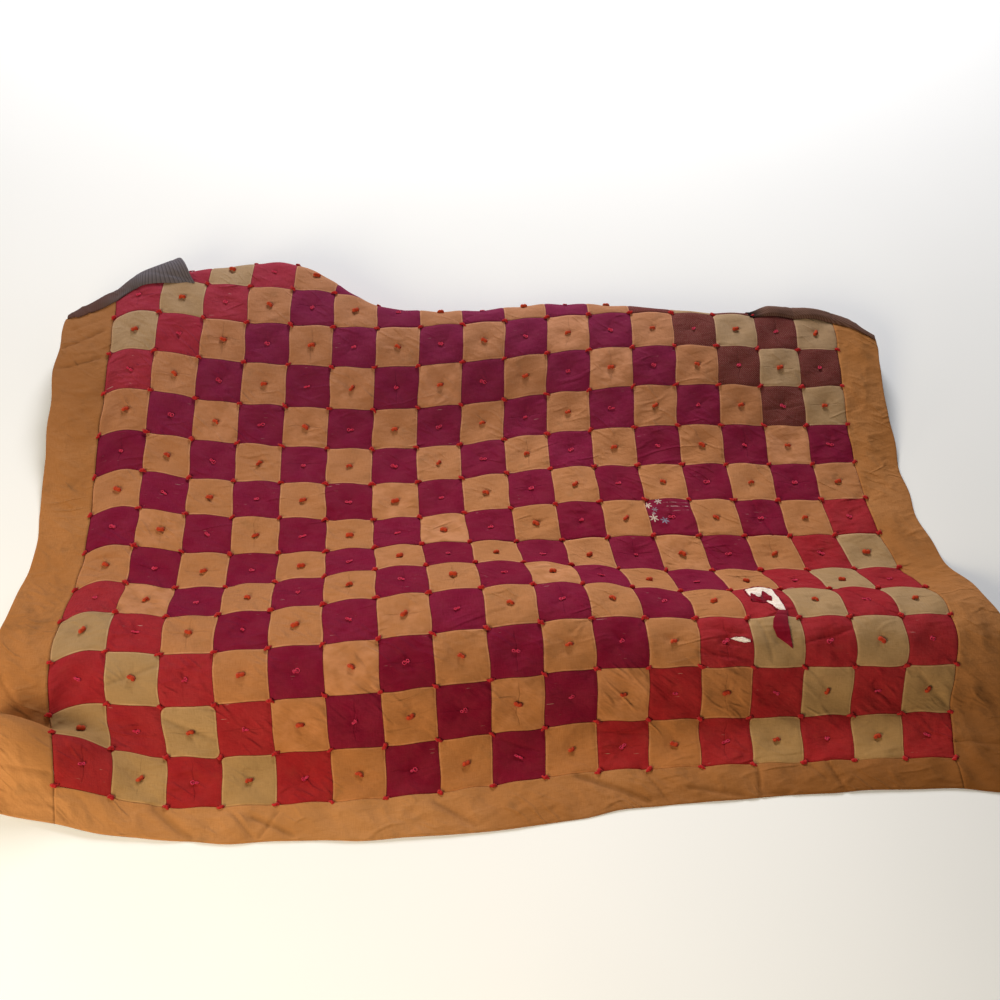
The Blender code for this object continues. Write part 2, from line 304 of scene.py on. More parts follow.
def puckers(u, v, seed, at_corners):
    """Short soft troughs that run out from each tie in a few random directions.

    A trough is a bell curve across its line, starts near the tie and fades out along it.
    """
    shift = 0.5 if at_corners else 0.0
    column = np.clip(np.floor(u + shift), 0, COLUMNS).astype(int)
    row = np.clip(np.floor(v + shift), 0, ROWS).astype(int)
    away_u = u + shift - column - 0.5
    away_v = v + shift - row - 0.5
    random = np.random.default_rng(seed)
    depth = np.zeros(np.broadcast(u, v).shape)
    for _ in range(5):
        angle, reach, deep, bend = (
            random.uniform(*limits, (ROWS + 1, COLUMNS + 1))[row, column]
            for limits in ((0, 2 * np.pi), (0.12, 0.42), (0.2, 1.0), (-0.6, 0.6)))
        along = away_u * np.cos(angle) + away_v * np.sin(angle)
        beside = away_v * np.cos(angle) - away_u * np.sin(angle) - bend * along**2
        trough = np.exp(-(beside / (0.022 + 0.05 * np.abs(along)))**2)
        depth += deep * trough * ease(along / 0.05) * ease((reach - along) / (0.6 * reach))
    return depth


# Long creases: ends in u and v, half width in squares, and depth
CREASES = (
    (-1.0, 1.42, 1.9, 0.98, 0.050, 0.0007),
    (4.05, 4.62, 4.95, 4.50, 0.030, 0.0014),
    (14.05, 2.48, 14.95, 2.72, 0.035, 0.0022),
    (15.2, 3.95, 15.75, 3.20, 0.030, 0.0020),
    (12.0, 2.30, 12.95, 2.12, 0.045, 0.0020),
    (12.0, 2.80, 12.80, 2.66, 0.040, 0.0014),
    (13.2, 2.90, 13.35, 2.20, 0.030, 0.0016),
    (14.4, 6.95, 14.6, 6.05, 0.028, 0.0020),
    (2.1, 1.75, 2.95, 1.35, 0.060, 0.0018),
    (1.0, 2.35, 1.95, 2.75, 0.050, 0.0018),
    (16.3, 1.8, 16.9, 1.2, 0.045, 0.0024),
    (8.2, 0.85, 8.9, 0.55, 0.035, 0.0016),
    (10.1, 0.80, 10.9, 0.72, 0.035, 0.0018),
    (6.1, 1.30, 6.9, 1.22, 0.030, 0.0012),
    (3.1, 8.62, 3.9, 8.50, 0.030, 0.0012),
    (9.3, 9.3, 9.9, 9.1, 0.030, 0.0012),
    (0.1, 5.72, 0.9, 5.64, 0.035, 0.0016),
    (15.1, 9.4, 15.9, 9.5, 0.030, 0.0014),
    (-0.95, 11.20, -0.20, 11.65, 0.040, 0.0030),
    (-0.90, 10.65, -0.10, 10.95, 0.040, 0.0026),
    (-0.80, 11.75, -0.35, 11.95, 0.030, 0.0020),
    (-0.95, 2.90, -0.10, 1.60, 0.060, 0.0020),
    (-0.95, 0.20, -0.10, 0.22, 0.040, 0.0024),
    (1.80, -0.05, 2.45, -0.62, 0.090, 0.0034),
    (3.20, -0.15, 3.60, -0.60, 0.040, 0.0024),
    (3.60, -0.25, 4.30, -0.60, 0.050, 0.0034),
    (4.00, -0.20, 3.75, -0.60, 0.035, 0.0024),
    (6.90, -0.20, 7.60, -0.70, 0.060, 0.0024),
    (9.60, -0.05, 10.90, -0.66, 0.070, 0.0034),
    (10.86, 0.00, 11.26, -0.66, 0.038, 0.0026),
    (11.70, -0.42, 12.70, -0.60, 0.050, 0.0026),
    (13.08, -0.15, 13.05, -0.55, 0.038, 0.0034),
    (13.05, -0.57, 13.60, -0.60, 0.038, 0.0022),
    (14.15, -0.12, 14.35, -0.34, 0.038, 0.0022),
    (14.45, -0.05, 14.72, -0.60, 0.035, 0.0028),
    (17.05, 0.36, 17.95, 0.30, 0.035, 0.0026),
)


def long_creases(u, v):
    """Each crease is a trough with a bell-shaped section round its line, and rounded ends."""
    depth = np.zeros(np.broadcast(u, v).shape)
    for u_start, v_start, u_end, v_end, half_width, deep in CREASES:
        run_u = u_end - u_start
        run_v = v_end - v_start
        length = np.hypot(run_u, run_v)
        along = ((u - u_start) * run_u + (v - v_start) * run_v) / length
        beside = ((v - v_start) * run_u - (u - u_start) * run_v) / length
        past = np.maximum(np.maximum(-along, along - length), 0)
        depth += 1.6 * deep * np.exp(-(beside / half_width)**2 - (past / 0.08)**2)
    return depth


def relief(u, v):
    """What the cloth's surface adds to its padding, in metres.

    Slow swells, sharper wrinkles that run mostly across, sunken seams, dimples and puckers at
    the ties, long creases, and slanting puckers in the borders.
    """
    inside = ease(1 - towards_hem(u, v) / 0.3)
    column = np.clip(np.floor(u), 0, COLUMNS - 1).astype(int)
    row = np.clip(np.floor(v), 0, ROWS - 1).astype(int)
    middle_u = u - column - 0.5
    middle_v = v - row - 0.5
    window = (np.cos(np.pi * np.clip(middle_u, -0.5, 0.5))
              * np.cos(np.pi * np.clip(middle_v, -0.5, 0.5)))
    swell = 0.0022 * drift(u, v, (1.3, 1.1), 3) + 0.0013 * drift(u, v, (0.47, 0.41), 4)
    bent_v = v + 0.10 * drift(u, v, (0.8, 0.8), 5)
    ridged = 1 - np.abs(drift(u, bent_v, (0.75, 0.15), 6))
    wrinkle = 0.0032 * ridged**5 * ease((drift(u, v, (0.9, 0.5), 7) + 0.3) / 0.6)
    bent_u = u + 0.10 * drift(u, v, (0.8, 0.8), 8)
    upright = 0.0018 * (1 - np.abs(drift(bent_u, v, (0.17, 0.6), 9)))**5
    upright *= ease((drift(u, v, (0.7, 0.7), 10)) / 0.5)
    calm = 1 - 0.45 * ease((v - 6) / 2)
    cloth = np.sqrt(np.clip(window, 0, 1)) * CREASED[row, column] * (wrinkle + upright) * calm
    seam_u = np.abs(u - np.round(u))
    seam_v = np.abs(v - np.round(v))
    seam = 0.0017 * np.exp(-(seam_u / 0.026)**2) + 0.0017 * np.exp(-(seam_v / 0.026)**2)
    centre = np.hypot(middle_u, middle_v)
    corner = np.hypot(seam_u, seam_v)
    dimple = 0.0016 * np.exp(-(centre / 0.09)**2) + 0.0012 * np.exp(-(corner / 0.09)**2)
    drawn = 0.0022 * puckers(u, v, 11, False) + 0.0020 * puckers(u, v, 12, True)
    field = cloth - seam * 0.9 - dimple - drawn * 0.8
    out = towards_hem(u, v)
    slant = u * 1.15 + v * 0.75 + 0.5 * drift(u, v, (1.1, 1.1), 13)
    tight = np.sin(2 * np.pi * slant) * (0.6 + 0.4 * drift(u, v, (1.7, 1.7), 14))
    band = np.sin(np.pi * np.clip(out, 0, 1))
    border = band * 0.0034 * tight
    border += band * 0.0030 * (1 - np.abs(drift(u + 0.4 * v, v, (0.30, 0.34), 15)))**4
    shown = 1 - ease((v - read_sections(u, "turn_v")) / 0.8)
    outside = np.where(out > 0, 1.0, 0.0)
    return shown * (swell + field * inside * (1 - outside) + border * outside - long_creases(u, v))


def sway_of_seams(u, v):
    """How far the cloth's seams and hems wander along u and along v, in metres."""
    out = towards_hem(u, v)
    reach = 0.0016 + 0.0050 * out**2
    along_u = reach * drift(u, v, (0.9, 0.7), 16)
    along_v = reach * drift(u, v, (0.8, 0.9), 17)
    bow_u = 0.0020 * np.sin(2 * np.pi * v) * drift(np.round(u), np.floor(v), (1.0, 1.0), 18)
    bow_v = 0.0020 * np.sin(2 * np.pi * u) * drift(np.floor(u), np.round(v), (1.0, 1.0), 19)
    near_u = np.exp(-((u - np.round(u)) / 0.25)**2)
    near_v = np.exp(-((v - np.round(v)) / 0.25)**2)
    inside = 1 - ease(out / 0.1)
    return along_u + bow_u * near_u * inside, along_v + bow_v * near_v * inside


def upper_face(u, v):
    """The quilt's lower and upper face, its outward directions and its directions along u."""
    points, across, along, normal = lay(u, v)
    shift_u, shift_v = sway_of_seams(u, v)
    thick = np.maximum(padding(u, v) + relief(u, v), LEAST_THICK)
    level = 1 - ease((v - read_sections(u, "turn_v") + 0.5) / 0.5)
    aside = across * (shift_u * level)[..., None] + along * (shift_v * level)[..., None]
    return points + aside, points + aside + normal * thick[..., None], normal, across


# Shader maths and the materials
class Amount:
    """A number that varies over the surface, so that + - * / on it add Math nodes."""

    def __init__(self, cloth, socket):
        self.cloth = cloth
        self.socket = socket

    def math(self, operation, *others):
        """What a Math node makes of this number and the others."""
        inputs = dict(enumerate((self,) + others))
        return self.cloth.amount("Math", {"operation": operation}, inputs)

    def __add__(self, other):
        return self.math("ADD", other)

    def __mul__(self, other):
        return self.math("MULTIPLY", other)

    def __sub__(self, other):
        return self.math("SUBTRACT", other)

    def __truediv__(self, other):
        return self.math("DIVIDE", other)

    def __rsub__(self, other):
        return (self * -1) + other

    __radd__ = __add__
    __rmul__ = __mul__


class Finish:
    """A material, with one method for each kind of step in making it."""

    def __init__(self, name):
        self.material = bpy.data.materials.new(name)
        self.material.use_nodes = True
        self.tree = self.material.node_tree
        self.shader = self.tree.nodes["Principled BSDF"]

    def feed(self, socket, value):
        """Link a socket or an amount to this socket, or set its plain value."""
        if isinstance(value, Amount):
            self.tree.links.new(value.socket, socket)
        elif isinstance(value, bpy.types.NodeSocket):
            self.tree.links.new(value, socket)
        else:
            socket.default_value = value

    def node(self, kind, settings=None, inputs=None):
        """A node of this kind, with its settings made first and then its sockets fed."""
        node = self.tree.nodes.new("ShaderNode" + kind)
        for key, value in (settings or {}).items():
            setattr(node, key, value)
        for key, value in (inputs or {}).items():
            self.feed(node.inputs[key], value)
        return node

    def amount(self, kind, settings=None, inputs=None, out="Value"):
        """The number that comes out of a new node of this kind."""
        return Amount(self, self.node(kind, settings, inputs).outputs[out])

    def place(self):
        """u and v of the surface, in squares, as two amounts and their joint socket."""
        uv = self.node("UVMap", {"uv_map": "cloth"}).outputs["UV"]
        split = self.node("SeparateXYZ", inputs={0: uv})
        return Amount(self, split.outputs[0]), Amount(self, split.outputs[1]), uv

    def point(self, x, y, z=0.0):
        return self.node("CombineXYZ", inputs={0: x, 1: y, 2: z}).outputs[0]

    def noise(self, where, scale, detail=2.0, roughness=0.5):
        return self.amount("TexNoise", inputs={"Vector": where, "Scale": scale, "Detail": detail,
                                               "Roughness": roughness}, out="Fac")

    def lot(self, u, v, draw=0.0):
        """A random number from 0 to 1 for each square, another one for each draw."""
        square = self.point(u.math("FLOOR"), v.math("FLOOR"), draw)
        return self.amount("TexWhiteNoise", {"noise_dimensions": "3D"}, {"Vector": square})

    def slubs(self, u, v, across_u=5.0, across_v=90.0):
        """Uneven threads: noise drawn out across the cloth, and up it."""
        across = self.noise(self.point(u * across_u, v * across_v), 1.0, 3.0)
        upright = self.noise(self.point(u * 80.0, v * 6.0, 3.0), 1.0, 3.0)
        return (across + upright) * 0.5

    def fold(self):
        """How deep the long creases are at each point of the mesh; the cloths darken by it as
        painted shade.
        """
        return self.amount("Attribute", {"attribute_name": "fold"}, out="Fac")

    def span(self, value, low, high, to_low=0.0, to_high=1.0):
        """The value taken from low to high onto to_low to to_high, eased and kept within."""
        settings = {"interpolation_type": "SMOOTHSTEP"}
        inputs = {"Value": value, "From Min": low, "From Max": high, "To Min": to_low,
                  "To Max": to_high}
        return self.amount("MapRange", settings, inputs, out="Result")

    def mix(self, share, first, second, way="MIX"):
        """A colour this share of the way from the first one to the second."""
        node = self.node("Mix", {"data_type": "RGBA", "blend_type": way})
        self.feed(node.inputs[0], share)
        for index, value in ((6, first), (7, second)):
            self.feed(node.inputs[index], (*value, 1) if isinstance(value, tuple) else value)
        return node.outputs[2]

    def dye(self, share, color, other):
        """Start the base colour: one colour that goes over to another."""
        self.base = self.mix(share, color, other)

    def layer(self, share, color, way="MIX"):
        """Mix this share of a colour over the base colour so far."""
        self.base = self.mix(share, self.base, color, way)

    def bump(self, height, distance, normal=None):
        """A normal that shows this height, from 0 to 1 times the distance in metres."""
        inputs = {"Height": height, "Distance": distance, "Strength": 1.0}
        if normal is not None:
            inputs["Normal"] = normal
        return self.node("Bump", inputs=inputs).outputs["Normal"]

    def finish(self, roughness, normal, sheen=0.0):
        """Feed the shader, and hand over the material."""
        self.feed(self.shader.inputs["Base Color"], self.base)
        self.feed(self.shader.inputs["Roughness"], roughness)
        self.feed(self.shader.inputs["Normal"], normal)
        self.shader.inputs["Specular IOR Level"].default_value = 0.04
        self.shader.inputs["Sheen Weight"].default_value = sheen
        self.shader.inputs["Sheen Roughness"].default_value = 0.5
        return self.material


def woven(cloth, u, v):
    """Bump of a plain weave: two sine waves at right angles."""
    turns = 2 * np.pi * PATCH / WEAVE_PITCH
    warp = (u * turns).math("SINE")
    weft = (v * turns).math("SINE")
    return cloth.bump(warp * weft * 0.5 + 0.5, WEAVE_DEPTH)


def crumpled(cloth, u, v, depth, normal):
    """Bump of creases: noise drawn out along two slanting lines, with round folds in places."""
    for slope, seed in ((0.22, 5.0), (-0.75, 9.0)):
        where = cloth.point(u + v * slope, (v - u * slope) * 3.2, seed)
        soft = cloth.noise(where, 1.7, 3.0, 0.5)
        crossing = (cloth.noise(where, 1.1, 0.5) - 0.5).math("ABSOLUTE")
        patchy = cloth.span(cloth.noise(cloth.point(u, v, seed), 1.3, 1.0), 0.48, 0.66)
        fold = cloth.span(crossing, 0.120, 0.0) * patchy
        normal = cloth.bump(fold, 0.0022 * depth, cloth.bump(soft, 0.0034 * depth, normal))
    return normal


def pressed_line(cloth, beside, along, lot):
    """A fine crease near the middle of about a fifth of the squares, from 0 to 1."""
    wander = cloth.noise(cloth.point(along * 1.6, lot * 9.0), 1.0) * 0.30 - 0.15
    line = cloth.span((beside.math("FRACT") - 0.5 + wander).math("ABSOLUTE"), 0.020, 0.002)
    length = cloth.span((along.math("FRACT") - 0.5).math("ABSOLUTE"), 0.46, 0.30)
    return line * length * cloth.span(lot, 0.78, 0.90)


def painted_light_tint(cloth, v):
    """Painted light: a cool sheen and tint towards the top and a warm tint towards the bottom."""
    cloth.layer(cloth.span(v, 6.0, 12.5), (0.0, 0.008, 0.024), "ADD")
    cloth.layer(cloth.span(v, 3.4, 0.6), (1.0, 0.90, 0.68), "MULTIPLY")


def square_cloth(name, color, faded, streak, stain, nicks, crease, rounded_by=0.02, beside=None,
                 pattern=None):
    """A cotton square: fading, slubs, a seam line with a lighter rim beside it, wear, painted
    shade in its creases, and painted light, cooler towards the top and warmer towards the bottom.

    The rim is partly pale seam allowance and partly a painted highlight on its raised edge. A
    light square has round corners, where its neighbours' colour comes in.
    """
    cloth = Finish(name)
    u, v, uv = cloth.place()
    lot = cloth.lot(u, v)
    slow = cloth.noise(uv, 0.9, 3.0)
    cloth.dye(cloth.span(slow * 0.55 + lot * 0.45, 0.25, 0.8), color, faded)
    if pattern is not None:
        pattern(cloth, u, v)
    slub = cloth.slubs(u, v)
    shade = tuple(c * (1 - streak) for c in color)
    cloth.layer(cloth.span(slub, 0.42, 0.62, 0.0, 0.75), shade)
    blotch = cloth.noise(cloth.point(u, v, 7.0), 2.3, 4.0, 0.6)
    cloth.layer(cloth.span(blotch, 0.56, 0.74, 0.0, stain), (0.20, 0.11, 0.045))
    line_u = (u.math("FRACT") - 0.5).math("ABSOLUTE")
    line_v = (v.math("FRACT") - 0.5).math("ABSOLUTE")
    rounding = lot * rounded_by + rounded_by * 0.5
    past_u = (line_u - 0.5 + rounding).math("MAXIMUM", 0.0)
    past_v = (line_v - 0.5 + rounding).math("MAXIMUM", 0.0)
    rounded = rounding - (past_u * past_u + past_v * past_v).math("SQRT")
    straight = 0.5 - line_u.math("MAXIMUM", line_v)
    wander = cloth.noise(cloth.point(u, v, 23.0), 6.0, 2.0) * 0.02 - 0.01
    edge = straight.math("MINIMUM", rounded) + wander
    broken = cloth.span(cloth.noise(cloth.point(u, v, 29.0), 3.0, 2.0), 0.35, 0.6, 0.3, 1.0)
    # A lighter rim beside the seam: partly pale seam allowance, partly a painted highlight on its
    # raised edge.
    rim = cloth.span(edge, 0.002, 0.010) * cloth.span(edge, 0.042, 0.022) * broken
    light = tuple(c * 1.2 + more for c, more in zip(color, (0.12, 0.075, 0.065)))
    cloth.layer(rim * (0.6 if beside else 0.08), light)
    dark = beside or tuple(c * 0.4 for c in color)
    cloth.layer(cloth.span(edge, 0.006, -0.002), dark)
    cloth.layer(cloth.span(straight, 0.010, 0.002) * 0.6, tuple(c * 0.3 for c in dark))
    scratch = cloth.noise(cloth.point(u * 3.0, v * 38.0, 11.0), 1.0, 2.0)
    patchy = cloth.noise(cloth.point(u, v, 17.0), 1.6, 2.0)
    worn = cloth.span(scratch, 0.70, 0.74) * cloth.span(patchy, 0.52, 0.62)
    cloth.layer(worn * nicks, (0.62, 0.50, 0.42))
    upright = pressed_line(cloth, u, v, cloth.lot(u, v, 2.0))
    level = pressed_line(cloth, v, u, cloth.lot(u, v, 4.0))
    pressed = upright.math("MAXIMUM", level)
    # Painted shade: darker in the pressed creases and along the long creases.
    painted_crease_shade = pressed * 0.22 + cloth.span(cloth.fold(), 0.0008, 0.0045) * 0.40
    cloth.layer(painted_crease_shade, tuple(c * 0.45 for c in color))
    # Painted light: cooler towards the top and warmer towards the bottom, except on the checked
    # squares.
    if pattern is not small_check:
        painted_light_tint(cloth, v)
    normal = crumpled(cloth, u, v, crease, woven(cloth, u, v))
    normal = cloth.bump(1.0 - pressed, 0.0006, normal)
    roughness = cloth.span(slub, 0.3, 0.7, 0.78, 0.92)
    return cloth.finish(roughness, normal)


def small_check(cloth, u, v):
    """Fine crossed stripes about 5 mm apart, with a tiny light dot where they cross."""
    turns = 2 * np.pi * PATCH / CHECK_PITCH
    bars = (u * turns).math("SINE") * 0.5 + (v * turns).math("SINE") * 0.5
    cloth.layer(cloth.span(bars, -0.5, 0.5) * 0.55, (0.10, 0.012, 0.020))
    dots = cloth.span((u * turns).math("COSINE") * (v * turns).math("COSINE"), 0.6, 0.95)
    cloth.layer(dots * 0.6, (0.50, 0.38, 0.30))


# Printed blooms on one square: u, v, radius in squares, turn in radians, and how blue they are
BLOOMS = (
    (12.045, 6.83, 0.11, 0.3, 0.0),
    (12.29, 6.93, 0.10, 0.9, 0.3),
    (12.18, 6.70, 0.08, 0.1, 0.9),
    (12.10, 6.45, 0.12, 0.5, 0.0),
    (12.33, 6.40, 0.11, 1.3, 1.0),
    (12.13, 6.58, 0.05, 0.2, 0.5),
)


def blooms(cloth, u, v):
    """Small six-rayed daisies: inside a circle whose radius swells and shrinks round it."""
    for at_u, at_v, radius, turn, blue in BLOOMS:
        away_u = (u - at_u) / radius
        away_v = (v - at_v) / radius
        far = (away_u * away_u + away_v * away_v).math("SQRT")
        angle = away_v.math("ARCTAN2", away_u)
        ray = (angle * 6.0 + turn * 6.0).math("COSINE") * 0.5 + 0.5
        reach = ray * 0.7 + 0.25
        petal = cloth.span(reach - far, 0.0, 0.12)
        tone = tuple(between(pair, blue) for pair in zip((0.72, 0.62, 0.52), (0.22, 0.26, 0.34)))
        cloth.layer(petal, tone)
    for at_v, start, strength in ((6.78, 12.42, 0.7), (6.88, 12.30, 0.3), (6.67, 12.40, 0.25)):
        wander = cloth.noise(cloth.point(u * 2.5, 0.0, at_v), 1.0) * 0.06 - 0.03
        beside = (v - at_v + wander).math("ABSOLUTE")
        broken = cloth.span(cloth.noise(cloth.point(u * 9.0, at_v), 1.0), 0.35, 0.55)
        line = cloth.span(beside, 0.016, 0.006) * cloth.span(u, start, start + 0.05) * broken
        cloth.layer(line * strength, (0.72, 0.50, 0.50))


def striped_back():
    """The grey-blue backing with fine stripes that run up the quilt."""
    cloth = Finish("striped_backing")
    u, v, uv = cloth.place()
    turns = 2 * np.pi * PATCH / STRIPE_PITCH
    stripe = (u * turns).math("SINE")
    cloth.dye(cloth.span(stripe, -0.4, 0.6), (0.098, 0.084, 0.096), (0.145, 0.125, 0.140))
    fine = (u * turns * 2.0 + 0.9).math("SINE")
    cloth.layer(cloth.span(fine, 0.7, 0.95) * 0.4, (0.26, 0.23, 0.24))
    browned = cloth.span(u + cloth.noise(uv, 2.0) * 0.8, 0.75, 0.05)
    cloth.layer(browned * 0.85, (0.105, 0.045, 0.034))
    blotch = cloth.noise(uv, 1.7, 4.0, 0.6)
    cloth.layer(cloth.span(blotch, 0.5, 0.75) * 0.5, (0.10, 0.060, 0.045))
    return cloth.finish(0.88, crumpled(cloth, u, v, 0.5, woven(cloth, u, v)))


def border_cloth():
    """Tan cotton, uneven from washing, with slubs and stains; painted shade along its long creases,
    towards the lower right and at the upper left, and painted light towards the lower left.
    """
    cloth = Finish("tan_border")
    u, v, uv = cloth.place()
    slow = cloth.noise(uv, 0.55, 4.0, 0.55)
    cloth.dye(cloth.span(slow, 0.3, 0.7), (0.40, 0.160, 0.048), (0.46, 0.200, 0.072))
    slub = cloth.slubs(u, v, 6.0, 80.0)
    cloth.layer(cloth.span(slub, 0.42, 0.62, 0.0, 0.7), (0.35, 0.140, 0.042))
    blotch = cloth.noise(cloth.point(u, v, 4.0), 1.9, 4.0, 0.6)
    cloth.layer(cloth.span(blotch, 0.55, 0.75) * 0.42, (0.17, 0.085, 0.035))
    # Painted shade along the long creases.
    cloth.layer(cloth.span(cloth.fold(), 0.0008, 0.0050) * 0.50, (0.16, 0.062, 0.018))
    # Painted shade towards the lower right front of the border.
    painted_shade_lower_right = cloth.span(u - v * 2.5, 8.0, 19.0) * cloth.span(v, 2.5, -0.3)
    cloth.layer(painted_shade_lower_right * 0.72, (0.16, 0.050, 0.007))
    # Painted light towards the lower left of the border.
    painted_light_lower_left = cloth.span(u, 9.0, 5.0) * cloth.span(v, 1.5, -0.1)
    cloth.layer(painted_light_lower_left * 0.22, (0.66, 0.32, 0.11))
    # Painted shade on the upper left of the border.
    painted_shade_upper_left = cloth.span(v, 7.0, 11.0) * cloth.span(u, 1.0, -0.3)
    cloth.layer(painted_shade_upper_left * 0.6, (0.30, 0.130, 0.055))
    normal = crumpled(cloth, u, v, 0.8, woven(cloth, u, v))
    return cloth.finish(cloth.span(slub, 0.3, 0.7, 0.78, 0.92), normal)


def rolled_cloth():
    """Brown twill of the rolled hem, with slanting stripes."""
    cloth = Finish("brown_hem_roll")
    u, v, uv = cloth.place()
    slanted = ((u + v * 1.4) * (2 * np.pi * PATCH / TWILL_PITCH)).math("SINE")
    cloth.dye(cloth.span(slanted, -0.3, 0.5), (0.115, 0.055, 0.040), (0.185, 0.100, 0.076))
    blotch = cloth.noise(uv, 2.1, 3.0)
    cloth.layer(cloth.span(blotch, 0.45, 0.7) * 0.5, (0.05, 0.025, 0.02))
    cloth.layer(cloth.span(u, 15.35, 14.95), (0.010, 0.006, 0.006))
    return cloth.finish(0.88, woven(cloth, u, v))


def plain_cloth(name, color, other, distance, size=60.0, roughness=0.9, sheen=0.1):
    """Thread, yarn or filling: a colour that drifts to another, and a fine fibrous surface."""
    cloth = Finish(name)
    where = cloth.node("TexCoord").outputs["Object"]
    tone = cloth.noise(where, size, 2.0)
    cloth.dye(cloth.span(tone, 0.3, 0.7), color, other)
    fibre = cloth.noise(where, size * 14, 3.0, 0.6)
    return cloth.finish(roughness, cloth.bump(fibre, distance), sheen)


# Each dye as it was and faded
PLUM_DYE = ((0.185, 0.0045, 0.026), (0.210, 0.009, 0.040))
TAN_DYE = ((0.42, 0.172, 0.064), (0.46, 0.198, 0.083))
ROSE_DYE = ((0.320, 0.016, 0.024), (0.35, 0.029, 0.038))
CREAM_DYE = ((0.39, 0.240, 0.115), (0.43, 0.275, 0.145))
CHECK_DYE = ((0.140, 0.026, 0.022), (0.16, 0.038, 0.032))
cloths = [
    square_cloth("plum_cotton", *PLUM_DYE, 0.14, 0.03, 0.4, 0.7),
    square_cloth("tan_cotton", *TAN_DYE, 0.10, 0.25, 0.1, 0.8, 0.045, PLUM_DYE[0]),
    square_cloth("rose_cotton", *ROSE_DYE, 0.16, 0.06, 0.5, 1.0),
    square_cloth("cream_cotton", *CREAM_DYE, 0.12, 0.35, 0.1, 0.6, 0.10, ROSE_DYE[0]),
    square_cloth("checked_cotton", *CHECK_DYE, 0.15, 0.05, 0.2, 0.6, pattern=small_check),
    square_cloth("daisy_cotton", *PLUM_DYE, 0.14, 0.03, 0.4, 0.7, pattern=blooms),
    striped_back(),
]
border_tan = border_cloth()
hem_brown = rolled_cloth()


# Pieces of cloth
def put(name, data):
    """A new object in the scene with this mesh, lamp or camera."""
    item = bpy.data.objects.new(name, data)
    bpy.context.scene.collection.objects.link(item)
    return item


def new_piece(name, points, faces, materials):
    """A smooth mesh of these points and faces, as an object that rides with the quilt."""
    mesh = bpy.data.meshes.new(name)
    mesh.from_pydata(points, [], faces)
    for material in materials:
        mesh.materials.append(material)
    mesh.shade_smooth()
    piece = put(name, mesh)
    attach(piece, "root")
    return piece


def closed_sheet(name, upper, lower, u, v, cloth_of_face, materials, every):
    """A closed sheet: a fine upper grid, a coarser lower grid and a rim between them.

    The lower grid takes every few rows and columns of the upper one's stations, and each rim
    face is one long polygon from a lower edge up to the fine edges over it.
    """
    rows, columns = upper.shape[:2]
    low_rows = np.unique(np.append(np.arange(0, rows, every), rows - 1))
    low_columns = np.unique(np.append(np.arange(0, columns, every), columns - 1))
    coarse = lower[np.ix_(low_rows, low_columns)]
    fine_index = np.arange(rows * columns).reshape(rows, columns)
    coarse_index = np.arange(coarse[..., 0].size).reshape(coarse.shape[:2]) + fine_index.size
    top = np.stack((fine_index[:-1, :-1], fine_index[:-1, 1:], fine_index[1:, 1:],
                    fine_index[1:, :-1]), -1).reshape(-1, 4)
    under = np.stack((coarse_index[:-1, :-1], coarse_index[1:, :-1], coarse_index[1:, 1:],
                      coarse_index[:-1, 1:]), -1).reshape(-1, 4)
    rim = []
    sides = (
        (fine_index[0], coarse_index[0], low_columns, 1),
        (fine_index[:, -1], coarse_index[:, -1], low_rows, 1),
        (fine_index[-1], coarse_index[-1], low_columns, -1),
        (fine_index[:, 0], coarse_index[:, 0], low_rows, -1),
    )
    for fine_line, coarse_line, stations, turn in sides:
        for k in range(len(stations) - 1):
            edge = fine_line[stations[k]:stations[k + 1] + 1].tolist()
            face = [int(coarse_line[k]), int(coarse_line[k + 1])] + edge[::-1]
            rim.append(face[::turn])
    vertices = np.concatenate((upper.reshape(-1, 3), coarse.reshape(-1, 3)))
    piece = new_piece(name, vertices.tolist(), top.tolist() + under.tolist() + rim, materials)
    mesh = piece.data
    where = np.stack((u, v), -1)
    low_places = where[np.ix_(low_rows, low_columns)]
    places = np.concatenate((where.reshape(-1, 2), low_places.reshape(-1, 2)))
    corners = np.zeros(len(mesh.loops), dtype=np.int32)
    mesh.loops.foreach_get("vertex_index", corners)
    mesh.uv_layers.new(name="cloth").data.foreach_set("uv", places[corners].ravel())
    # Depth of the long creases at each point, which the cloths darken by as painted shade.
    fold = mesh.attributes.new("fold", "FLOAT", "POINT")
    fold.data.foreach_set("value", long_creases(places[:, 0], places[:, 1]))
    index = np.full(len(mesh.polygons), len(materials) - 1, dtype=np.int32)
    index[:len(top)] = np.asarray(cloth_of_face).ravel()
    index[len(top) + len(under):] = 0 if len(materials) < 3 else TAN
    mesh.polygons.foreach_set("material_index", index)
    return piece


def stations(start, end, cells):
    """Evenly spaced values from start to end, about this many cells to a square."""
    return np.linspace(start, end, max(2, int(round(abs(end - start) * cells)) + 1))


CELLS = FULL_CELLS
half_gap = SEAM_GAP / PATCH / 2


def field_part(name, row_start, row_end):
    """Whole rows of squares, one cloth a square."""
    u_line = stations(0, COLUMNS, CELLS)
    v_line = stations(row_start, row_end, CELLS)
    u_line[[0, -1]] += (half_gap, -half_gap)
    v_line[[0, -1]] += (half_gap, -half_gap)
    u, v = np.meshgrid(u_line, v_line)
    lower, upper, _, _ = upper_face(u, v)
    column = np.floor((u_line[1:] + u_line[:-1]) / 2).astype(int)
    row = np.floor((v_line[1:] + v_line[:-1]) / 2).astype(int)
    piece = closed_sheet(name, upper, lower, u, v, SQUARES[np.ix_(row, column)], cloths, 7)
    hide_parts("patchwork_field")
    return piece


def hem_stations(cells):
    """Shares across a border from the seam to the hem, closer together at the hem."""
    return np.concatenate((stations(0, HEM_SHARE, cells), (0.96, 0.975, 0.987, 0.995, 1.0)))


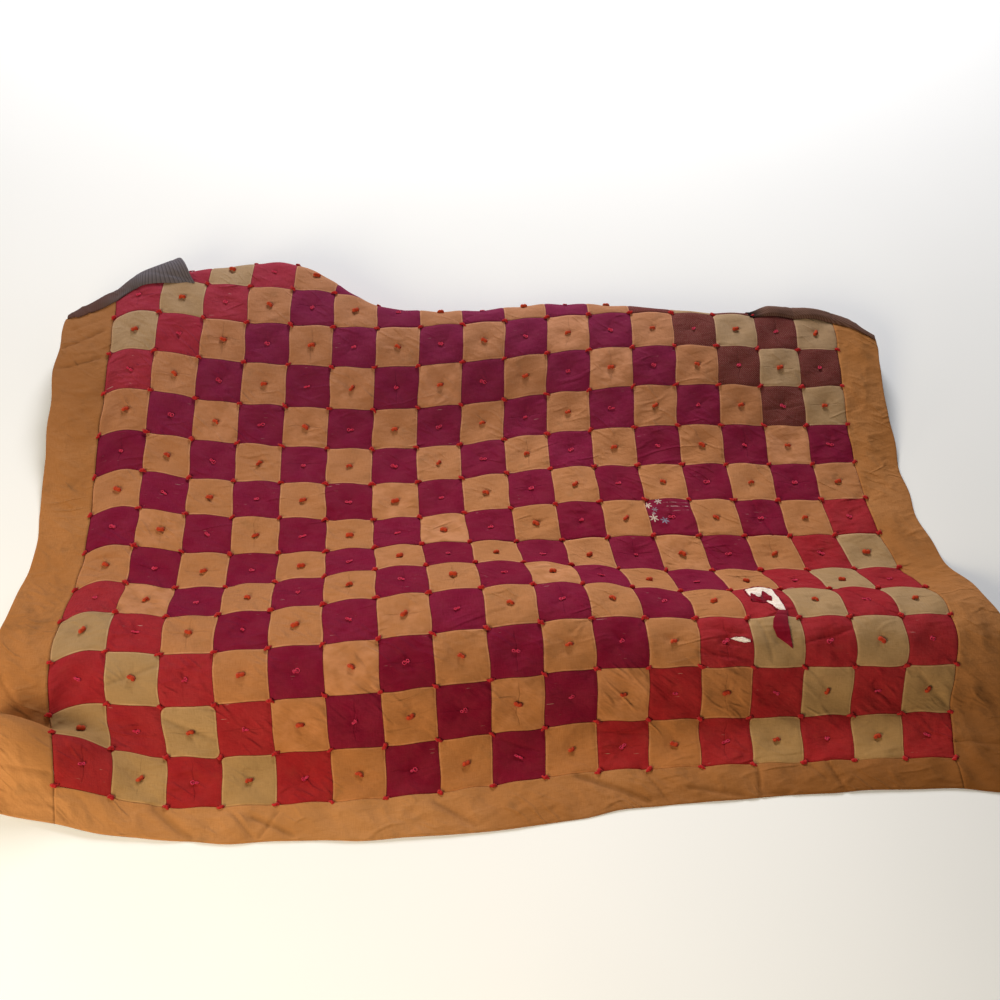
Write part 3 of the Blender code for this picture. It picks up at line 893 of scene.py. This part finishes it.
def hem_round(u, v):
    """1 on the quilt, falling like a circle's edge to 0 in the last few millimetres."""
    t = np.clip((towards_hem(u, v) - HEM_SHARE) / (1 - HEM_SHARE), 0, 1)
    return np.sqrt(1 - t**2)


def border_piece(name, node, u, v):
    """One border as a closed sheet, thinned round its hem."""
    lower, upper, _, _ = upper_face(u, v)
    share = between((HEM_LEAST, 1.0), hem_round(u, v))[..., None]
    upper = lower + (upper - lower) * share
    piece = closed_sheet(name, upper, lower, u, v, 0, [border_tan, cloths[BACKING]], 3)
    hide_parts(node)
    return piece


def make_borders():
    """The four borders: grids from the seam out to the hem, the side ones with the corners."""
    shares = hem_stations(CELLS * 0.8)
    across = stations(0, COLUMNS, CELLS * 0.8)
    across[[0, -1]] += (half_gap, -half_gap)
    u, share = np.meshgrid(across, shares[::-1])
    hem_v = read_sections(u, "hem_width") / PATCH
    border_piece("bottom_border", "border_bottom", u, -half_gap - share * (hem_v - half_gap))
    u, share = np.meshgrid(across, shares)
    border_piece("top_border", "border_top", u, ROWS + half_gap + share * (TOP_V - half_gap))
    inner_v = stations(0, ROWS, CELLS * 0.8)
    for name, node, seam, direction in (("left_border", "border_left", 0, -1),
                                        ("right_border", "border_right", COLUMNS, 1)):
        line = np.sort(seam + direction * (half_gap + shares * (SIDE_U - half_gap)))
        low = shares[::-1][:-1]
        u, v = np.meshgrid(line, np.concatenate((-low, inner_v, ROWS + shares[1:] * TOP_V)))
        v[:len(low)] *= read_sections(u, "hem_width") / PATCH
        border_piece(name, node, u, v)


field_part("patchwork_lower_rows", 0, 6)
field_part("patchwork_upper_rows", 6, 12)
field_part("patchwork_turned_rows", 12, 15)
make_borders()


# Pieces laid on the quilt, as the solids have them
def laid_on(name, node, u, v, bottom, thick, material, aside=0.0, loose=False):
    """A thin piece on the quilt's upper face, from bottom to bottom plus thick over it.

    A loose one has any outline. In the others each grid column has one u.
    """
    face, normal, across = on_points(u, v) if loose else upper_face(u, v)[1:]
    lower = face + normal * bottom[..., None] + across * np.broadcast_to(aside, u.shape)[..., None]
    upper = lower + normal * np.broadcast_to(thick, u.shape)[..., None]
    piece = closed_sheet(name, upper, lower, u, v, 0, [material], 1)
    if node:
        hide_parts(node)
    return piece


def turned_corner():
    """The quilt's own corner turned up over the back fold, plump between its edges."""
    reach = np.linspace(0, 1, 120)
    u, share = np.meshgrid(between((-0.98, 1.12), reach), np.linspace(0, 1, 40))
    turn = read_sections(u, "turn_v")
    edge = np.interp(reach, (0, 0.12, 0.5, 1), (0.16, -0.04, -0.17, -0.12))
    edge = edge + 0.03 * drift(u, u * 0, (0.5, 1), 31)
    v = turn + edge + (0.85 - edge) * share
    lift = 0.0015 + 0.037 * reach**3 * np.sin(np.pi / 2 * share)
    plump = np.sqrt(np.sin(np.pi * np.clip(share, 0.0, 1.0)))
    ripple = 0.0016 * drift(u, v, (0.6, 0.14), 32) * plump
    thick = 0.0012 + 0.0068 * plump * between((0.7, 1.0), reach) + ripple
    slant = PATCH * (0.60 - 0.88 * share) * ease((reach - 0.70) / 0.30)
    piece = laid_on("turned_up_corner", "turned_corner", u, v, lift, thick, cloths[BACKING],
                    slant)


def rolled_edge():
    """The hem rolled up over the back fold at the right."""
    reach = np.linspace(0, 1, 150)
    u, share = np.meshgrid(between((14.9, 18.0), reach), np.linspace(0, 1, 24))
    v = read_sections(u, "turn_v") + between((0.06, 0.50), share) - 0.05 * reach
    round_top = np.sqrt(np.sin(np.pi * share))
    twist = 0.0012 * drift(u + v * 1.2, v, (0.35, 0.5), 33)
    taper = ease(reach / 0.18) * (0.12 + 0.88 * ease((1 - reach) / 0.45))
    thick = 0.0014 + (0.0175 + 2 * twist) * round_top * taper
    piece = laid_on("rolled_hem", "rolled_edge", u, v, np.full(u.shape, LAID_GAP), thick,
                    hem_brown)


turned_corner()
rolled_edge()

crimson = plain_cloth("crimson_cotton", (0.24, 0.006, 0.022), (0.20, 0.004, 0.018), 0.0004)
wadding_white = plain_cloth("cotton_wadding", (0.90, 0.75, 0.64), (0.96, 0.85, 0.76), 0.0008, 90.0)


def torn_strip():
    """The loose strip of crimson cloth: it leaves the tear, swings left and ends on a slant."""
    across, up = np.meshgrid(np.linspace(0, 1, 24), np.linspace(0, 1, 60))
    left = np.interp(up, (0, 0.3, 0.6, 0.85, 1), (13.47, 13.42, 13.46, 13.58, 13.62))
    right = np.interp(up, (0, 0.3, 0.6, 0.85, 1), (13.74, 13.73, 13.73, 13.78, 13.81))
    left = left + 0.006 * drift(up * 9, up * 0, (1, 1), 36)
    v_low = between((2.58, 2.35), across)
    return left + (right - left) * across, v_low + (3.13 - v_low) * up, across, up


def on_points(u, v):
    """The upper face at loose points, read from columns a small step apart and blended."""
    line = np.linspace(u.min() - STEP, u.max() + STEP, 40)
    rows = np.linspace(v.min() - STEP, v.max() + STEP, 60)
    _, face, normal, across = upper_face(*np.meshgrid(line, rows))
    x = (u - line[0]) / (line[1] - line[0])
    y = (v - rows[0]) / (rows[1] - rows[0])
    i = np.clip(np.floor(x).astype(int), 0, len(line) - 2)
    j = np.clip(np.floor(y).astype(int), 0, len(rows) - 2)
    fx = (x - i)[..., None]
    fy = (y - j)[..., None]
    return [blend(table, i, j, fx, fy) for table in (face, normal, across)]


def make_strip():
    """The strip as a thin sheet that arches a little over the quilt."""
    u, v, across, up = torn_strip()
    arch = 0.0030 * np.sin(np.pi * up) + 0.0025 * ease((0.3 - up) / 0.3) * across
    bottom = 0.0006 + arch + 0.0008 * np.sin(np.pi * across)
    piece = laid_on("torn_crimson_strip", "torn_strip", u, v, bottom, TORN_THICK, crimson,
                    loose=True)


# Outlines of the holes in u and v: the upper edge and the lower edge, each from left to right
TEAR_TOP = ((13.23, 3.90), (13.42, 3.95), (13.62, 3.94), (13.78, 3.88))
TEAR_LOW = ((13.24, 3.60), (13.50, 3.50), (13.59, 3.16), (13.79, 3.04))
SLIT_TOP = ((12.58, 2.555), (12.70, 2.580), (12.84, 2.565), (12.95, 2.52))
SLIT_LOW = ((12.58, 2.535), (12.72, 2.490), (12.84, 2.455), (12.95, 2.46))


def hole_grid(top, low, steps=44):
    """Points of u and v between a hole's lower and upper edge, with ragged outer lines."""
    share, up = np.meshgrid(np.linspace(0, 1, steps), np.linspace(0, 1, steps))
    knots_at = np.linspace(0, 1, len(top))
    low_u, low_v = (np.interp(share, knots_at, column) for column in np.array(low).T)
    top_u, top_v = (np.interp(share, knots_at, column) for column in np.array(top).T)
    u = low_u + (top_u - low_u) * up
    v = low_v + (top_v - low_v) * up
    ragged = 0.012 * drift(share * 11 + up * 2, share, (1, 1), 37) * np.abs(2 * up - 1)
    return u, v + ragged * np.sin(np.pi * share), share, up


def make_wadding():
    """White filling in the tear and the slit: lumpy, round-edged and pushed up a little."""
    for name, node, top, low, rise in (
            ("wadding_in_tear", "wadding_tear", TEAR_TOP, TEAR_LOW, 0.0030),
            ("wadding_in_slit", "wadding_slit", SLIT_TOP, SLIT_LOW, 0.0016)):
        u, v, share, up = hole_grid(top, low)
        crown = np.clip((1 - (2 * share - 1)**6) * (1 - (2 * up - 1)**4), 0, 1)**0.5
        lumps = 0.35 * rise * drift(u, v, (0.05, 0.05), 35)
        piece = laid_on(name, node, u, v, np.full(u.shape, 0.0002),
                        0.0004 + (rise + lumps) * crown, wadding_white, loose=True)


def rings(path, side, other, radius, sides):
    """A ring of points round each point of a path, in the plane of side and other."""
    turn = np.linspace(0, 2 * np.pi, sides, endpoint=False)[:, None]
    ring = side[..., None, :] * np.cos(turn) + other[..., None, :] * np.sin(turn)
    return path[..., None, :] + ring * radius[..., None, None]


def torn_edge(name, top, low, radius, seed):
    """The rolled raw edge of the cloth round a hole: one closed, uneven tube."""
    u, v, _, _ = hole_grid(top, low)
    ring_u = np.concatenate((u[0], u[1:, -1], u[-1, -2::-1], u[-2:0:-1, 0]))
    ring_v = np.concatenate((v[0], v[1:, -1], v[-1, -2::-1], v[-2:0:-1, 0]))
    face, normal, _ = on_points(ring_u[None], ring_v[None])
    step = np.arange(len(ring_u))
    wobble = drift(step, step * 0, (3, 1), seed)
    line = face[0] + normal[0] * (0.0012 + 0.0010 * wobble[:, None])
    run = unit(np.roll(line, -1, axis=0) - np.roll(line, 1, axis=0) + 1e-9)
    side = unit(np.cross(run, normal[0]))
    size = radius * (1 + 0.45 * drift(step, step * 0, (2, 1), seed + 1))
    points = rings(line, side, normal[0], size, 6)
    index = np.arange(points.shape[0] * 6).reshape(-1, 6)
    after = np.roll(index, -1, axis=1)
    walls = np.stack((index, after, np.roll(after, -1, axis=0), np.roll(index, -1, axis=0)), -1)
    new_piece(name, points.reshape(-1, 3).tolist(), walls.reshape(-1, 4).tolist(), [crimson])


def torn_flap():
    """A dark tongue of cloth, joined below the hole, whose two peaks curl up over the filling."""
    across, up = np.meshgrid(np.linspace(0, 1, 36), np.linspace(0, 1, 20))
    height = (0.07 + 0.15 * np.exp(-((across - 0.15) / 0.11)**2)
              + 0.22 * np.exp(-((across - 0.72) / 0.20)**2))
    u = between((13.23, 13.62), across) + 0.04 * up * (across - 0.3)
    v = 3.42 + 0.02 * np.sin(9 * across) + height * up
    bottom = 0.0008 + 0.0036 * ease(up / 0.35) + 0.0050 * up**2 * np.sin(np.pi * across)
    piece = laid_on("torn_crimson_flap", None, u, v, bottom, TORN_THICK, crimson,
                    loose=True)


make_strip()
make_wadding()
torn_edge("raw_edge_of_tear", TEAR_TOP, TEAR_LOW, 0.0016, 38)
torn_edge("raw_edge_of_slit", SLIT_TOP, SLIT_LOW, 0.0009, 48)
torn_flap()


# Ties, left out in the two squares at the tear
TORN_ROWS = (2, 3)
TORN_COLUMN = 13


def tubes(paths, radius, sides):
    """Tubes round many paths at once: a ring at each point, square to the path there.

    paths is (tubes, points, 3) and radius is (tubes, points). The ends are closed by caps.
    """
    count, length = paths.shape[:2]
    run = unit(np.gradient(paths, axis=1) + 1e-9)
    side = unit(np.cross(run, np.array((0.31, 0.17, 0.93))))
    points = rings(paths, side, np.cross(run, side), radius, sides)
    index = np.arange(count * length * sides).reshape(count, length, sides)
    after = np.roll(index, -1, axis=2)
    walls = np.stack((index[:, :-1], after[:, :-1], after[:, 1:], index[:, 1:]), -1)
    caps = [cap[::-1].tolist() for cap in index[:, 0]] + [cap.tolist() for cap in index[:, -1]]
    return points.reshape(-1, 3), walls.reshape(-1, 4).tolist() + caps


def tie_places(u_line, v_line):
    """Lists of points, outward directions and directions along u and v, on the upper face."""
    _, face, normal, across = upper_face(*np.meshgrid(u_line, v_line))
    along = np.cross(normal, across)
    return [part.reshape(-1, 3) for part in (face, normal, across, along)]


def knots(name, face, normal, across, along, radius, tail, loops, material, seed):
    """Yarn knots: a plump little crossbar for each, and loose tails that curl out from it."""
    random = np.random.default_rng(seed)
    count = len(face)
    lean = random.uniform(-0.7, 0.7, count)[:, None]
    size = random.uniform(0.75, 1.25, count)[:, None]
    heading = across * np.cos(lean) + along * np.sin(lean)
    beside = along * np.cos(lean) - across * np.sin(lean)
    bar = []
    stretch = np.linspace(-1, 1, 9)
    for t in stretch:
        height = radius * (0.55 + 0.35 * (1 - t * t))
        bar.append(face + heading * (t * tail[0] * size) + normal * height
                   + beside * (0.0015 * np.sin(3 * t + lean * 9)))
    pinch = 1 - 0.22 * np.exp(-(stretch / 0.22)**2)
    thick = radius * size * np.sqrt(1 - 0.93 * stretch**4) * pinch
    points, faces = tubes(np.stack(bar, 1), thick * (0.75 if loops else 1.0), 5)
    for way in (-1, 1):
        if loops:
            swing = np.linspace(0.2, 5.6, 7)
            bend = random.uniform(0.3, 1.0, count)[:, None]
            wide = random.uniform(0.35, 1.0, count)[:, None]
            path = [face + normal * radius * 1.1
                    + heading * (way * tail[1] * wide * (1 - np.cos(s)) * 0.55)
                    + beside * (way * tail[1] * bend * 0.55 * np.sin(s)) for s in swing]
            width = np.full((count, 7), radius * 0.6)
        else:
            curl = random.uniform(-1.2, 1.2, count)[:, None]
            reach = random.uniform(0.5, 1.2, count)[:, None] * tail[1]
            path = [face + heading * (way * (tail[0] * 0.5 + reach * s))
                    + beside * (curl * tail[1] * s * s * 0.7)
                    + normal * radius * (0.6 - 0.2 * s) for s in np.linspace(0, 1, 4)]
            width = radius * np.broadcast_to(np.array((0.9, 0.8, 0.7, 0.35)), (count, 4))
        more, extra = tubes(np.stack(path, 1), width, 4)
        faces += [[i + len(points) for i in face_points] for face_points in extra]
        points = np.concatenate((points, more))
    points[:, 2] = np.maximum(points[:, 2], 0.0001)
    new_piece(name, points.tolist(), faces, [material])


def make_ties():
    """Orange ties on light squares, magenta ones on dark squares, red ones where seams cross."""
    centres = tie_places(np.arange(COLUMNS) + 0.5, np.arange(ROWS) + 0.5)
    hidden = np.zeros(SQUARES.shape, bool)
    hidden[TORN_ROWS, TORN_COLUMN] = True
    dark = DARK.ravel()
    shown = ~hidden.ravel()
    light_ties = [part[~dark & shown] for part in centres]
    dark_ties = [part[dark & shown] for part in centres]
    corners = tie_places(np.clip(np.arange(COLUMNS + 1), half_gap, COLUMNS - half_gap),
                         np.clip(np.arange(ROWS + 1), half_gap, ROWS - half_gap))
    orange = plain_cloth("orange_yarn", (0.52, 0.060, 0.018), (0.40, 0.034, 0.012), 0.0006, 120.0)
    magenta = plain_cloth("magenta_yarn", (0.58, 0.022, 0.065), (0.66, 0.045, 0.120), 0.0005, 120.0)
    red = plain_cloth("red_yarn", (0.48, 0.020, 0.020), (0.40, 0.012, 0.016), 0.0006, 120.0)
    knots("ties_on_light_squares", *light_ties, 0.0050, (0.0082, 0.0045), False, orange, 41)
    knots("ties_on_dark_squares", *dark_ties, 0.0020, (0.0058, 0.0092), True, magenta, 42)
    knots("ties_on_seam_corners", *corners, 0.0046, (0.0046, 0.0068), False, red, 43)


make_ties()


# Studio
FLOOR_REACH = 14.0
FLOOR_LEVEL = -0.0003


def make_floor():
    """A wide pale square, a hair under the quilt."""
    finish = plain_cloth("studio_floor", (0.97, 0.97, 0.97), (0.98, 0.98, 0.98), 0.0, 2.0, 0.9, 0.0)
    mesh = bpy.data.meshes.new("floor")
    corners = [(x * FLOOR_REACH, y * FLOOR_REACH, FLOOR_LEVEL)
               for x, y in ((-1, -1), (1, -1), (1, 1), (-1, 1))]
    mesh.from_pydata(corners, [], [(0, 1, 2, 3)])
    mesh.materials.append(finish)
    put("floor", mesh)


def lamp(kind, name, place, aim, power, color=(1.0, 1.0, 1.0), **settings):
    """A lamp of this kind in its place, turned towards the point it lights."""
    light = bpy.data.lights.new(name, kind)
    light.energy = power
    light.color = color
    for key, value in settings.items():
        setattr(light, key, value)
    hung = put(name, light)
    way = np.array(aim, float) - np.array(place, float)
    hung.location = place
    hung.rotation_euler = (np.arctan2(np.hypot(way[0], way[1]), -way[2]), 0,
                           np.arctan2(-way[0], way[1]))


def make_lights():
    """A soft key from behind, a warm fill from the lower left, a low light from the left, a spot
    on the front ridge, and pale air.
    """
    lamp("AREA", "key", (0.2, 4.8, 2.9), (0, -0.1, 0), 284, (0.98, 0.98, 0.99), shape="DISK",
         size=2.2)
    lamp("AREA", "fill", (-1.9, -2.9, 1.9), (-0.2, -0.7, 0), 86, (1.0, 0.87, 0.62), shape="DISK",
         size=1.8)
    lamp("AREA", "side", (-3.0, -0.95, 0.85), (-1.0, -0.75, 0.05), 17, (1.0, 0.88, 0.70),
         shape="DISK", size=0.8)
    lamp("SPOT", "ridge_light", (0.5, 3.0, 2.6), (0.25, -0.52, 0.12), 205,
         spot_size=np.radians(23.0), spot_blend=1.0, shadow_soft_size=0.4)
    world = bpy.data.worlds.new("studio_air")
    world.use_nodes = True
    background = world.node_tree.nodes["Background"]
    background.inputs["Color"].default_value = (0.97, 0.98, 1.0, 1)
    background.inputs["Strength"].default_value = 0.14
    bpy.context.scene.world = world
    bpy.context.scene.view_settings.view_transform = "Standard"


CAMERA_PLACE = (-0.275, -2.227, 2.628)
CAMERA_HEADING = 7.71
CAMERA_DIP = 50.06
CAMERA_ROLL = 5.07
CAMERA_FOCAL = 49.8
SENSOR_WIDTH = 36


def make_camera():
    """The camera looks along its heading, dipped below level and rolled about its view."""
    heading, dip, roll = np.radians((CAMERA_HEADING, CAMERA_DIP, CAMERA_ROLL))
    look = np.array((np.sin(heading) * np.cos(dip), np.cos(heading) * np.cos(dip), -np.sin(dip)))
    right = np.array((np.cos(heading), -np.sin(heading), 0.0))
    up = np.cross(right, look)
    right_rolled = np.cos(roll) * right + np.sin(roll) * up
    up_rolled = np.cos(roll) * up - np.sin(roll) * right
    data = bpy.data.cameras.new("camera")
    data.lens = CAMERA_FOCAL
    data.sensor_width = SENSOR_WIDTH
    camera = put("camera", data)
    matrix = np.eye(4)
    matrix[:3, 0] = right_rolled
    matrix[:3, 1] = up_rolled
    matrix[:3, 2] = -look
    matrix[:3, 3] = CAMERA_PLACE
    camera.matrix_world = Matrix(matrix.tolist())
    bpy.context.scene.camera = camera


make_floor()
make_lights()
make_camera()
